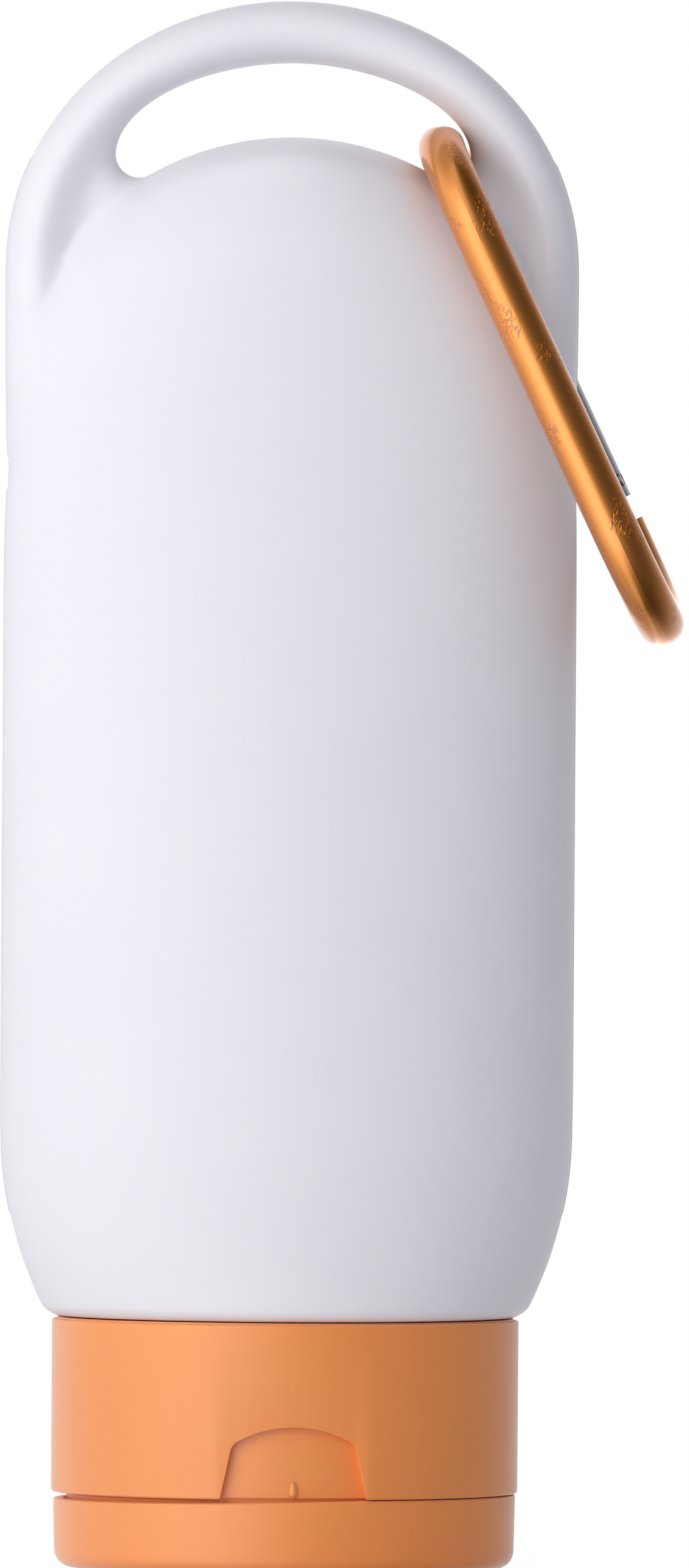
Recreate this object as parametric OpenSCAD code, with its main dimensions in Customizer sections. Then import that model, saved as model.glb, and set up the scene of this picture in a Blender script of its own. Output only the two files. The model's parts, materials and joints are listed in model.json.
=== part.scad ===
// Oval squeeze bottle for lotion. It stands upside down on its flip-top cap, has a carrying
// handle blown in one piece with the body, and a small snap carabiner hangs in the handle.
// The origin is the centre of the lid's underside, X runs across the width, the front is -Y.

/* [Bottle] */
// Width of the body
body_w = 48.6; // [45:0.1:56]
// Depth of the body where it is deepest, just above the shoulder
body_d = 32.4; // [30:0.1:36]
// Depth of the body at the level where the handle springs from its sides
top_d = 21.0; // [18:0.1:21.6]
// Height of the straight side, from the shoulder to the springing of the handle
side_h = 89.2; // [70:0.1:120]
// Height from the springing of the handle to its top
arch_h = 22.5; // [20:0.1:26]
// Radius, seen from the front, of the curve that draws the body in to the shoulder
flare_r = 33; // [28:0.5:45]
// Height of that curve
flare_h = 15.8; // [10:0.1:18]
// Radius of the corner between the body and the flat shoulder
corner_r = 1.2; // [0.6:0.1:2]
// Thickness of the blown wall
wall = 1.1; // [0.8:0.05:1.6]

/* [Handle] */
// Width of the strap at the top of the handle
strap_w = 5.3; // [4:0.1:7]
// Depth of the strap, front to back
strap_d = 8.0; // [6:0.1:10]
// Width of the crescent opening
opening_w = 30.2; // [26:0.1:32]
// Height from the tips of the opening to its top
opening_h = 7.8; // [7:0.1:10]
// Radius of the tips of the opening
tip_r = 2.0; // [1.4:0.1:2.4]
// Thickness of the web between the strap and the domed top of the body
web_t = 4.4; // [3:0.1:6]
// Width of the slope that falls from the strap to the web
slope_w = 3.2; // [2:0.1:4.5]
// Length over which the rim of the opening is rounded
rim_r = 2.65; // [1.5:0.05:4]

/* [Neck] */
// Outer radius of the neck
neck_r = 11; // [9:0.1:11.4]
// Wall of the neck
neck_wall = 1.6; // [1.2:0.1:2.2]
// How far the snap bead stands out from the neck
bead_out = 0.6; // [0.3:0.05:0.8]
// Height of the snap bead
bead_h = 1.4; // [1:0.1:2]
// Height from the neck's end to the snap bead
bead_rise = 2.4; // [1.5:0.1:4]

/* [Cap] */
// How far the bottle's shoulder stands out past the cap
cap_step = 0.45; // [0.2:0.05:1]
// Height of the cap's base
base_h = 14.7; // [13:0.1:20]
// Height of the lid
lid_h = 6.15; // [5.6:0.05:7]
// Gap between the base and the lid
parting_gap = 0.2; // [0.1:0.05:0.35]
// Gap between the cap and the bottle's shoulder
seat_gap = 0.2; // [0.1:0.05:0.5]
// Wall of the cap
cap_wall = 1.15; // [0.9:0.05:1.4]
// Thickness of the deck, the plate that closes the base
deck_t = 1.2; // [1:0.1:1.6]
// Thickness of the lid's plate
plate_t = 1.5; // [1.2:0.1:1.8]
// How far the deck stands past the parting line, into the lid
land_h = 1.2; // [0.8:0.1:1.6]
// Clearance between the land round the deck and the lid's wall
land_gap = 0.2; // [0.1:0.05:0.35]
// Radius of the lid's lower edge
lid_edge_r = 1.5; // [0.8:0.1:2]
// Radius of the base's upper edge
base_edge_r = 0.35; // [0.2:0.05:0.6]
// Half width of the thumb recess at the parting line
thumb_w = 6.2; // [4.5:0.1:8]
// Half width of the thumb recess at its shoulders
thumb_top_w = 5.2; // [3:0.1:7]
// Height of the thumb recess at its shoulders
thumb_side_h = 4.7; // [3:0.1:6]
// Height by which the arched top of the recess rises over its shoulders
thumb_rise = 1.45; // [0.6:0.05:2.5]
// Depth of the thumb recess
thumb_depth = 1.0; // [0.6:0.05:1.3]
// How far the back of the recess stops short of the parting line
thumb_lift = 0.15; // [0.1:0.05:0.4]
// Thickness of the skirt that grips the neck
skirt_wall = 1.1; // [0.8:0.1:1.4]
// Clearance between the skirt and the neck
skirt_gap = 0.15; // [0.1:0.05:0.3]
// Thickness of the ribs that tie the skirt to the outer wall
rib_t = 0.9; // [0.6:0.1:1.4]
// Radius of the orifice
orifice_r = 2.4; // [2.1:0.1:2.8]
// Outer radius of the spout round the orifice
spout_r = 4.1; // [3.5:0.1:5]
// Height of the spout
spout_h = 1.6; // [1:0.1:2]
// Clearance of the plug in the orifice
plug_gap = 0.08; // [0.05:0.01:0.15]
// Width of the living hinge
hinge_w = 12; // [8:0.5:14]
// Thickness of the living hinge
hinge_t = 0.35; // [0.25:0.05:0.5]

/* [Carabiner] */
// Diameter of the rod that the carabiner is bent from
rod_d = 4.0; // [3.6:0.1:4.3]
// Length over all
ring_l = 48.3; // [46:0.1:60]
// Width over all
ring_w = 25.0; // [24.6:0.1:30]
// Radius of the four bends, on the rod's middle line
bend_r = 8.5; // [7:0.1:9.5]
// Distance from the middle of the top bend to the gate's pivot
pivot_q = 15.5; // [14:0.1:17]
// Diameter of the gate
gate_d = 3.8; // [3.6:0.1:4.4]
// Gap between the gate's free end and the nose
nose_gap = 2.1; // [1:0.1:3]
// Straight length of the rod between the nose and the lower bend
nose_l = 0.2; // [0.1:0.1:3]
// Thickness of the tongue at the pivot and of the hooked nose
tongue_t = 1.5; // [1:0.1:1.8]
// Clearance on each side of a tongue in its slot
slot_gap = 0.1; // [0.05:0.01:0.2]
// Radius of the pivot rivet
rivet_r = 0.75; // [0.5:0.05:0.9]
// Radius of the latch pin
latch_r = 0.5; // [0.35:0.05:0.6]
// Running clearance of the rivet in the tongue
running_gap = 0.04; // [0.02:0.01:0.08]
// Radius of the cam on the end of the tongue
cam_r = 2.2; // [2.1:0.05:2.4]
// Distance of the cam's middle from the pivot
cam_offset = 0.95; // [0.7:0.05:1.1]
// Angle through which the gate opens
gate_travel = 22; // [15:1:22]
// Radius of the plunger inside the gate
plunger_r = 1.05; // [0.8:0.05:1.1]
// Length of the plunger
plunger_l = 3.0; // [2:0.1:4]
// Thickness of the spring's wire
spring_wire_d = 0.3; // [0.2:0.05:0.35]
// Number of turns of the spring
spring_turns = 6; // [4:1:8]

/* [Hang] */
// How far the carabiner's middle line leans from upright
ring_lean = 25.3; // [22:0.1:30]
// How far the carabiner is turned about its own middle line
ring_turn = 6.0; // [4:0.1:8]
// Clearance between the hanging rod and the dome under it
hang_gap = 0.35; // [0.3:0.05:0.6]
// Clearance between the hanging rod and the end of the opening
side_gap = 0.4; // [0.2:0.05:1]

/* [Hidden] */
$fn = 48;
eps = 0.01;
// Margin by which a cutting tool passes the face that it cuts
over = 1;
shell_color = "#EEEEF2";
cap_color = "#F0955A";
frame_color = "#D9822B";
steel_color = "#C9CDD2";

// Heights of the main levels
parting_z = lid_h + parting_gap;
deck_z = parting_z - land_h;
base_top_z = parting_z + base_h;
shoulder_z = base_top_z + seat_gap;
flare_z = shoulder_z + flare_h;
spring_z = shoulder_z + side_h;
arch_top_z = spring_z + arch_h;
half_w = body_w / 2;
opening_top_z = arch_top_z - strap_w;
tip_z = opening_top_z - opening_h;

// Tips of the opening: each is an arc that dips by tip_bite into the circle of the dome, the
// round top of the body, which is as wide as the body
tip_bite = 0.04;
tip_c = [opening_w / 2 - tip_r, tip_z];
tip_reach = half_w + tip_r - tip_bite;
dome_z = tip_z - sqrt(pow(tip_reach, 2) - pow(tip_c[0], 2));
crown_z = dome_z + half_w;
// Angle that the tip's arc turns through, clockwise, from the arch to the dome
tip_turn = atan2(dome_z - tip_z, -tip_c[0])
    + acos((pow(tip_reach, 2) + pow(tip_r, 2) - pow(half_w, 2)) / (2 * tip_r * tip_reach));
// Angle on the dome's circle at which the tip's arc ends
dome_start = acos((tip_c[0] + tip_r * cos(tip_turn)) / half_w);
// Below this level the body is a plain oval loft
join_z = dome_z - 5.4;

// Bottle skin, as a depth over the plane in which the two mould halves meet

// Rises from 0 at t = 0 to 1 at t = 1, as a quarter of an ellipse
function quarter(t) = sqrt(1 - pow(1 - min(max(t, 0), 1), 2));
// Rises smoothly from 0 to 1 between a and b
function ease(t, a, b) = let (u = min(max((t - a) / (b - a), 0), 1)) u * u * (3 - 2 * u);
// The larger of two depths, with a small fillet where they are equal
function blend(a, b) = pow(pow(a, 8) + pow(b, 8), 1 / 8);

// How much the flare and the corner draw the outline in at a level
flare_share = 0.2;
function flare_in(z) = z < flare_z ? flare_r - sqrt(pow(flare_r, 2) - pow(flare_z - z, 2)) : 0;
function corner_in(z) = corner_r * (1 - quarter((z - shoulder_z) / corner_r));
// Half width and half depth of the body's oval section; an inset gives the hollow's section
function oval_w(z, inset = 0) = let (up = max(z - dome_z, 0))
    sqrt(max(pow(half_w - inset, 2) - up * up, 0)) - flare_in(z) - corner_in(z - inset);
crown_share = 0.4;
function oval_d(z, inset = 0) =
    let (rise = min(max((z - flare_z) / (spring_z - flare_z), 0), 1),
        top = min(max((z - spring_z) / (crown_z - spring_z), 0), 1),
        full_d = body_d + (top_d - body_d) * rise - top_d * crown_share * pow(top, 1.5))
    full_d / 2 - flare_share * flare_in(z) - corner_in(z - inset) - inset;
function body_depth(x, z) = let (w = oval_w(z))
    w <= abs(x) ? 0 : oval_d(z) * sqrt(1 - pow(x / w, 2));

// Distance inward from the outline, round the arch and down the straight sides
function from_outline(x, z) =
    let (v = max(z - spring_z, 0), share = sqrt(pow(x / half_w, 2) + pow(v / arch_h, 2)))
    z <= spring_z ? half_w - abs(x) : (1 / share - 1) * norm([x, v]);
// The strap's round crest, the slope that falls from it to the web, and the web itself
function strap_depth(x, z) =
    let (s = from_outline(x, z), crest = strap_w / 2,
        thin = (strap_d - web_t) / 2 * ease(abs(x), opening_w * 0.3, opening_w * 0.48),
        fall = thin * ease(s, crest, crest + slope_w))
    (strap_d / 2 * quarter(s / crest) - fall) * ease(z, join_z, dome_z + 4);

// Columns of the skin: each runs from the rim of the opening to the outline, or down to join_z
arch_cols = 16;
tip_cols = 9;
dome_cols = 14;
rows = 20;
corner_col = arch_cols + tip_cols;
half_cols = corner_col + dome_cols;
cols = 2 * half_cols;

// The arch of the opening is a little flatter at its shoulders than an ellipse
arch_power = 1.06;
function rim_arch(a) = [opening_w / 2 * pow(sin(a), arch_power),
    tip_z + opening_h * pow(abs(cos(a)), arch_power)];
function rim_tip(a) = tip_c + tip_r * [cos(a), sin(a)];
function rim_dome(a) = [half_w * cos(a), dome_z + half_w * sin(a)];
function rim(i) = i <= arch_cols ? rim_arch(90 * i / arch_cols)
    : i <= corner_col ? rim_tip(tip_turn * (i - arch_cols) / tip_cols)
    : rim_dome(dome_start + (90 - dome_start) * (i - corner_col) / dome_cols);
function outer_arch(a) = [half_w * sin(a), spring_z + arch_h * cos(a)];
function outer(i) = i <= arch_cols ? outer_arch(90 * i / arch_cols)
    : i <= corner_col ? [half_w, spring_z + (join_z - spring_z) * (i - arch_cols) / tip_cols]
    : [half_w * cos(90 * (i - corner_col) / dome_cols), join_z];
// Steps along a column: close together at both ends where it ends on the outline, at the rim
// only where it ends on the plain loft, and half and half in between
function share(i, j) = let (w = ease(i, arch_cols, corner_col + 5))
    (1 - w) * (1 - cos(180 * j / rows)) / 2 + w * pow(j / rows, 1.8);
function mirrored(i) = i <= half_cols ? i : cols - i;
function on_seam(i, j) = j == 0 || (j == rows && mirrored(i) <= corner_col);

// One point of the skin, front = -1 or back = 1
function skin_point(i, j, side) =
    let (m = mirrored(i), a = rim(m), p = a + (outer(m) - a) * share(m, j),
        rounding = quarter(norm(p - a) / rim_r),
        over_plane = blend(body_depth(p[0], p[1]), strap_depth(p[0], p[1])) * rounding,
        depth = on_seam(i, j) ? 0 : over_plane)
    [(i <= half_cols ? 1 : -1) * p[0], side * depth, p[1]];
back_first = cols * (rows + 1);
function skin_id(i, j, side) = let (c = i % cols)
    c * (rows + 1) + j + (side > 0 && !on_seam(c, j) ? back_first : 0);

// Levels of the plain loft below join_z, close together where the body turns in
loft_levels = concat([for (k = [1:5]) join_z + (flare_z - join_z) * k / 5],
    [for (k = [1:5]) flare_z - (flare_h - corner_r) * k / 5],
    [for (k = [1:4]) shoulder_z + corner_r * (1 - sin(90 * k / 4))]);
loft_cols = 4 * dome_cols;
loft_first = 2 * back_first;
function loft_id(r, k) = let (c = k % loft_cols) r > 0 ? loft_first + (r - 1) * loft_cols + c
    : c <= 2 * dome_cols ? skin_id(corner_col + c, rows, -1)
    : skin_id(cols - corner_col - (c - 2 * dome_cols), rows, 1);

// Two triangles on a patch with corners a, b, c and d
function patch(a, b, c, d) = [[a, b, c], [a, c, d]];

module outer_skin() {
    skin_points = [for (side = [-1, 1], i = [0:cols - 1], j = [0:rows]) skin_point(i, j, side)];
    loft_points = [for (z = loft_levels, k = [0:loft_cols - 1]) let (a = 360 * k / loft_cols)
        [oval_w(z) * cos(a), -oval_d(z) * sin(a), z]];
    front = [for (i = [0:cols - 1], j = [0:rows - 1]) each patch(skin_id(i, j, -1),
        skin_id(i, j + 1, -1), skin_id(i + 1, j + 1, -1), skin_id(i + 1, j, -1))];
    back = [for (i = [0:cols - 1], j = [0:rows - 1]) each patch(skin_id(i, j, 1),
        skin_id(i + 1, j, 1), skin_id(i + 1, j + 1, 1), skin_id(i, j + 1, 1))];
    sides = [for (r = [0:len(loft_levels) - 1], k = [0:loft_cols - 1]) each patch(loft_id(r, k),
        loft_id(r + 1, k), loft_id(r + 1, k + 1), loft_id(r, k + 1))];
    shoulder = [[for (k = [loft_cols - 1:-1:0]) loft_id(len(loft_levels), k)]];
    polyhedron(concat(skin_points, loft_points), concat(front, back, sides, shoulder));
}

// Stack of ovals: levels is a list of [z, half width, half depth]
module oval_stack(levels, sides) {
    top = len(levels) - 1;
    points = [for (l = levels, k = [0:sides - 1]) let (a = 360 * k / sides)
        [l[1] * cos(a), l[2] * sin(a), l[0]]];
    bottom_face = [for (k = [0:sides - 1]) k];
    top_face = [for (k = [sides - 1:-1:0]) top * sides + k];
    walls = [for (r = [0:top - 1], k = [0:sides - 1]) let (n = (k + 1) % sides)
        each patch(r * sides + k, (r + 1) * sides + k, (r + 1) * sides + n, r * sides + n)];
    polyhedron(points, concat([bottom_face, top_face], walls));
}

// The hollow: the oval loft again, one wall thickness inside, closed under the crown
module chamber() {
    floor_z = shoulder_z + wall;
    roof_z = crown_z - wall;
    roof_r = 3.4;
    straight_z = flare_z + wall;
    levels = concat([for (k = [0:3]) floor_z + corner_r * (1 - cos(90 * k / 3))],
        [for (k = [1:4]) floor_z + corner_r + (flare_h - corner_r) * k / 4],
        [for (k = [1:4]) straight_z + (dome_z - straight_z) * k / 4],
        [for (k = [1:9]) dome_z + (roof_z - dome_z) * sin(90 * k / 9.4)]);
    oval_stack([for (z = levels)
        [z, oval_w(z, wall), oval_d(z, wall) * quarter((roof_z - z) / roof_r)]], 40);
}

// Clearance between the neck's end and the deck
neck_gap = 0.25;
neck_bore_r = neck_r - neck_wall;
neck_end_z = deck_z + deck_t + neck_gap;
neck_bead_z = neck_end_z + bead_rise;

module neck_profile() {
    square([neck_r, shoulder_z + wall / 2 - neck_end_z]);
    translate([0, bead_rise])
        polygon([[0, 0], [neck_r, 0], [neck_r + bead_out, bead_h * 0.65], [neck_r, bead_h],
            [0, bead_h]]);
}

module bottle() {
    color(shell_color) difference() {
        union() {
            outer_skin();
            translate([0, 0, neck_end_z]) rotate_extrude() neck_profile();
        }
        chamber();
        translate([0, 0, neck_end_z - over])
            cylinder(r = neck_bore_r, h = shoulder_z + wall - neck_end_z + 2 * over);
    }
}

// Cap

oval_sides = 64;
half_cap_w = half_w - flare_in(shoulder_z) - cap_step;
half_cap_d = body_d / 2 - flare_share * flare_in(shoulder_z) - cap_step;
land_in = cap_wall + land_gap;
skirt_in = neck_r + skirt_gap;
skirt_out = skirt_in + bead_out + skirt_wall;
skirt_top_z = neck_bead_z + bead_h + 4.6;

// An oval prism of the cap's outline, drawn in by an inset
module oval_prism(inset, z0, z1) {
    outline = [for (k = [0:oval_sides - 1]) let (a = 360 * k / oval_sides)
        [(half_cap_w - inset) * cos(a), (half_cap_d - inset) * sin(a)]];
    translate([0, 0, z0]) linear_extrude(height = z1 - z0) polygon(outline);
}
// A closed oval body from levels of [z, inset]
module oval_body(list) {
    oval_stack([for (l = list) [l[0], half_cap_w - l[1], half_cap_d - l[1]]], oval_sides);
}

// Front view of the thumb recess: straight flanks, drawn on below the parting line, and an
// arched top
module thumb_outline() {
    below = 2;
    low_w = thumb_w + (thumb_w - thumb_top_w) * below / thumb_side_h;
    arc_r = (pow(thumb_top_w, 2) + pow(thumb_rise, 2)) / (2 * thumb_rise);
    polygon([[-low_w, -below], [low_w, -below], [thumb_top_w, thumb_side_h],
        [-thumb_top_w, thumb_side_h]]);
    intersection() {
        translate([0, thumb_side_h + thumb_rise - arc_r]) circle(r = arc_r, $fn = 64);
        translate([-thumb_top_w, thumb_side_h - over])
            square([2 * thumb_top_w, thumb_rise + 2 * over]);
    }
}

thumb_top_z = parting_z + thumb_side_h + thumb_rise;
// Cuts the recess, down to its own depth and, under its back wall, down to the land
module thumb_cut() {
    difference() {
        translate([0, 0, parting_z]) rotate([90, 0, 0])
            linear_extrude(height = half_cap_d + over) thumb_outline();
        oval_prism(thumb_depth, parting_z + thumb_lift, thumb_top_z + over);
        oval_prism(land_in, deck_z - over, parting_z + 2 * thumb_lift);
    }
}

// A patch behind the recess, so that the wall goes on there
module thumb_panel() {
    margin = 1.2;
    panel_w = thumb_w + margin;
    intersection() {
        difference() {
            oval_prism(cap_wall / 2, parting_z + 0.02, thumb_top_z + margin);
            oval_prism(thumb_depth + cap_wall, deck_z, thumb_top_z + 2 * margin);
        }
        translate([-panel_w, -half_cap_d, deck_z])
            cube([2 * panel_w, half_cap_d, thumb_top_z + 2 * margin - deck_z]);
    }
}

// The small moulded nub low on the back wall of the recess
module thumb_nub() {
    nub_r = 0.38;
    nub_h = 1.1;
    proud = 0.22;
    translate([0, -half_cap_d + thumb_depth + nub_r - proud, parting_z + thumb_lift + nub_r - 0.1]) {
        sphere(r = nub_r, $fn = 24);
        cylinder(r1 = nub_r, r2 = 0.12, h = nub_h, $fn = 24);
    }
}

// The skirt snaps over the neck's bead, and a thin lip seals inside the neck's bore
module skirt_profile() {
    groove_r = skirt_in + bead_out;
    lip_gap = 0.1;
    lip_t = 0.9;
    lip_h = 2.4;
    translate([groove_r, deck_z + eps]) square([skirt_wall, skirt_top_z - deck_z]);
    translate([0, neck_bead_z + bead_h + 0.1])
        polygon([[groove_r + eps, 0], [groove_r + eps, bead_h],
            [skirt_in - 0.05, bead_h * 0.6], [skirt_in - 0.05, bead_h * 0.35]]);
    translate([neck_bore_r - lip_gap - lip_t, deck_z + eps]) square([lip_t, deck_t + lip_h]);
}

module spout() {
    bevel = 0.5;
    rotate_extrude() translate([0, deck_z - spout_h])
        polygon([[0, 0], [spout_r - bevel, 0], [spout_r, bevel],
            [spout_r + bevel * 0.8, spout_h + eps], [0, spout_h + eps]]);
}

// The living hinge lies on a flat that is cut into the back of the base and of the lid
hinge_reach = 2.6;
hinge_relief = 0.6;
hinge_y = half_cap_d * sqrt(1 - pow(hinge_w / 2 / half_cap_w, 2)) - 0.1;
module hinge_flat(z0, z1) {
    flat_w = hinge_w + hinge_relief;
    translate([-flat_w / 2, hinge_y, z0]) cube([flat_w, half_cap_d, z1 - z0]);
}

// A rib that ties the skirt round the neck to the outer wall
module side_rib() {
    start = skirt_out - skirt_wall / 2;
    rib_h = base_h * 0.7;
    translate([start, -rib_t / 2, parting_z - eps])
        cube([half_cap_w - cap_wall / 2 - start, rib_t, rib_h]);
}

module cap_base() {
    draft = 0.1;
    color(cap_color) difference() {
        union() {
            difference() {
                union() {
                    difference() {
                        oval_body([[parting_z, draft], [parting_z + draft, 0],
                            [base_top_z - base_edge_r, 0],
                            [base_top_z - base_edge_r * 0.3, base_edge_r * 0.3],
                            [base_top_z, base_edge_r]]);
                        oval_prism(cap_wall, parting_z - over, base_top_z + over);
                    }
                    // Shoulder that joins the land to the outer wall
                    difference() {
                        oval_prism(cap_wall / 2, parting_z + 0.02, parting_z + 1.0);
                        oval_prism(land_in + cap_wall / 2, parting_z - over, parting_z + 2);
                    }
                    thumb_panel();
                }
                thumb_cut();
            }
            // The land round the deck, which the lid closes over
            difference() {
                oval_prism(land_in, deck_z, parting_z + 0.3);
                oval_prism(land_in + cap_wall, deck_z + deck_t, parting_z + over);
            }
            thumb_nub();
            rotate_extrude() skirt_profile();
            for (turn = [0, 180]) rotate([0, 0, turn]) side_rib();
            spout();
        }
        translate([0, 0, deck_z - spout_h - over])
            cylinder(r = orifice_r, h = spout_h + deck_t + 2 * over);
        hinge_flat(parting_z - over, parting_z + hinge_reach + hinge_relief);
    }
}

// The plug under the lid's plate closes the orifice
module plug() {
    seal_z = deck_z - spout_h;
    r = orifice_r - plug_gap;
    foot = 0.5;
    lead = 0.25;
    tip_h = 1.2;
    rotate_extrude() polygon([[0, plate_t - foot], [r + foot, plate_t - foot], [r, plate_t + foot],
        [r, seal_z + lead], [r * 0.7, seal_z + tip_h], [0, seal_z + tip_h]]);
}

module lid() {
    // The lid's wall stands this much inside the base's
    step = 0.3;
    draft = 0.1;
    color(cap_color) difference() {
        union() {
            difference() {
                oval_body([[0, lid_edge_r + step + 0.05],
                    [lid_edge_r * 0.13, lid_edge_r * 0.5 + step + 0.05],
                    [lid_edge_r * 0.5, lid_edge_r * 0.13 + step + 0.03],
                    [lid_edge_r, step], [lid_h, step - draft]]);
                oval_prism(cap_wall, plate_t, lid_h + over);
            }
            plug();
        }
        hinge_flat(parting_z - hinge_reach - hinge_relief, parting_z + over);
    }
}

module hinge_web() {
    color(cap_color) translate([-hinge_w / 2, hinge_y + eps, parting_z - hinge_reach])
        cube([hinge_w, hinge_t, 2 * hinge_reach]);
}

// Carabiner, drawn hanging straight down from the origin, spine at -Y and gate at +Y

rod_r = rod_d / 2;
half_ring = (ring_w - rod_d) / 2;
drop = ring_l - rod_d;
nose_q = drop - bend_r - nose_l;
gate_end_q = nose_q - nose_gap;
gate_l = gate_end_q - pivot_q;
gate_r = gate_d / 2;
hang_x = opening_w / 2 - rod_r - side_gap;
hang_z = dome_z + sqrt(pow(half_w + rod_r + hang_gap, 2) - pow(hang_x, 2));

module hung() {
    translate([hang_x, 0, hang_z]) rotate([0, -ring_lean, 0]) rotate([0, 0, -ring_turn])
        children();
}
// A quarter bend with its middle at y, q
module bend(y, q, start) {
    translate([0, y, -q]) rotate([0, 90, 0]) rotate([0, 0, start])
        rotate_extrude(angle = 90) translate([bend_r, 0]) circle(r = rod_r);
}
module leg(y, q0, q1) {
    translate([0, y, -q1]) cylinder(r = rod_r, h = q1 - q0);
}
module cross_bar(q) {
    bar_l = 2 * (half_ring - bend_r);
    translate([0, -bar_l / 2, -q]) rotate([-90, 0, 0]) cylinder(r = rod_r, h = bar_l);
}
// A pin or a hole for one, across the gate at y, q
module cross_pin(r, l, y, q) {
    translate([-l / 2, y, -q]) rotate([0, 90, 0]) cylinder(r = r, h = l);
}
// A plate of the tongue's thickness, from an outline in y and height over the top bend
module plate() {
    rotate([0, 0, 180]) rotate([90, 0, -90])
        linear_extrude(height = tongue_t, center = true) children();
}

// The gate's rounded head turns about the pivot, this far from the end of the upper leg
head_r = 2;
head_gap = 0.3;
// The plunger's line passes half way through the cam's travel
cam_dir = gate_travel / 2;
module pivot_tongue() {
    tongue_w = 3.0;
    cam_w = 3.6;
    cam_reach = 4;
    difference() {
        plate() {
            intersection() {
                translate([half_ring - cam_offset * cos(cam_dir),
                    -pivot_q + cam_offset * sin(cam_dir)]) circle(r = cam_r);
                translate([half_ring - cam_w / 2, -pivot_q - cam_reach])
                    square([cam_w, cam_reach + over]);
            }
            translate([half_ring - tongue_w / 2, -pivot_q])
                square([tongue_w, head_r + head_gap + 0.9]);
        }
        cross_pin(rivet_r + running_gap, tongue_t + 2 * over, half_ring, pivot_q);
    }
}

// The hooked nose: a stem inside the gate's slot, and a head behind the latch pin
latch_rise = 1.5;
latch_gap = 0.25;
latch_q = gate_end_q - latch_rise;
latch_y = half_ring - latch_r - latch_gap;
module hooked_nose() {
    head_q = latch_q - latch_r - latch_gap;
    head_t = 0.55;
    stem_in = 0.2;
    stem_out = 1.6;
    head_in = 1.3;
    root = 0.5;
    plate() {
        translate([half_ring - stem_in, -nose_q - root])
            square([stem_in + stem_out, nose_q + root - head_q + 0.4]);
        translate([half_ring - head_in, -head_q]) square([head_in + stem_out, head_t]);
    }
}

module carabiner_frame() {
    color(frame_color) hung() {
        leg(-half_ring, bend_r, drop - bend_r);
        leg(half_ring, bend_r, pivot_q - head_r - head_gap);
        leg(half_ring, nose_q, drop - bend_r);
        bend(half_ring - bend_r, bend_r, 90);
        bend(-half_ring + bend_r, bend_r, 180);
        bend(half_ring - bend_r, drop - bend_r, 0);
        bend(-half_ring + bend_r, drop - bend_r, 270);
        cross_bar(0);
        cross_bar(drop);
        pivot_tongue();
        hooked_nose();
    }
}

plunger_gap = 0.05;
plunger_q = pivot_q + cam_r - cam_offset * sin(cam_dir) + 0.03;
slot_bottom_q = pivot_q + 2.7;
bore_l = 7;
bore_end_q = slot_bottom_q + bore_l;
// The slot at the gate's free end, for the nose
end_slot_l = 3.1;
pin_fit = 0.01;
// A slot across the gate for a tongue, from height q down to q + l
module tongue_slot(q, l) {
    w = tongue_t + 2 * slot_gap;
    translate([-w / 2, half_ring - gate_r - over, -q - l]) cube([w, gate_d + 2 * over, l]);
}
module carabiner_gate() {
    color(steel_color) hung() difference() {
        union() {
            translate([0, half_ring, -gate_end_q]) cylinder(r = gate_r, h = gate_l);
            intersection() {
                translate([0, half_ring, -pivot_q - over]) cylinder(r = gate_r, h = head_r + 2 * over);
                cross_pin(head_r, gate_d + 2 * over, half_ring, pivot_q);
            }
        }
        tongue_slot(pivot_q - head_r - over, slot_bottom_q - pivot_q + head_r + over);
        tongue_slot(gate_end_q - end_slot_l, end_slot_l + over);
        translate([0, half_ring, -bore_end_q])
            cylinder(r = plunger_r + plunger_gap, h = bore_end_q - plunger_q + 0.5);
        cross_pin(rivet_r + pin_fit, gate_d + 2 * over, half_ring, pivot_q);
        cross_pin(latch_r + pin_fit, gate_d + 2 * over, latch_y, latch_q);
    }
}

module pivot_rivet() {
    color(steel_color) hung() cross_pin(rivet_r, gate_d - 0.2, half_ring, pivot_q);
}
module latch_pin() {
    chord = 2 * sqrt(pow(gate_r, 2) - pow(half_ring - latch_y, 2));
    color(steel_color) hung() cross_pin(latch_r, chord - 0.1, latch_y, latch_q);
}
module gate_plunger() {
    color(steel_color) hung() translate([0, half_ring, -plunger_q - plunger_l])
        cylinder(r = plunger_r, h = plunger_l);
}

// Round wire of the spring, as one helical tube between the plunger and the end of the bore
module gate_spring() {
    turn_steps = 12;
    sides = 6;
    wire_r = spring_wire_d / 2;
    rest_gap = 0.45;
    q0 = plunger_q + plunger_l + rest_gap + wire_r;
    q1 = bore_end_q - 0.02 - wire_r;
    coil_r = plunger_r - wire_r - 0.08;
    n = spring_turns * turn_steps;
    points = [for (i = [0:n], k = [0:sides - 1])
        let (a = 360 * i / turn_steps, b = 360 * k / sides, r = coil_r + wire_r * cos(b))
        [r * cos(a), r * sin(a), -(q0 + (q1 - q0) * i / n) + wire_r * sin(b)]];
    ends = [[for (k = [0:sides - 1]) k], [for (k = [sides - 1:-1:0]) n * sides + k]];
    skin = [for (i = [0:n - 1], k = [0:sides - 1]) let (a = i * sides, m = (k + 1) % sides)
        each patch(a + k, a + sides + k, a + sides + m, a + m)];
    color(steel_color) hung() translate([0, half_ring, 0]) polyhedron(points, concat(ends, skin));
}

bottle();
cap_base();
hinge_web();
lid();
carabiner_frame();
carabiner_gate();
pivot_rivet();
latch_pin();
gate_plunger();
gate_spring();
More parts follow.
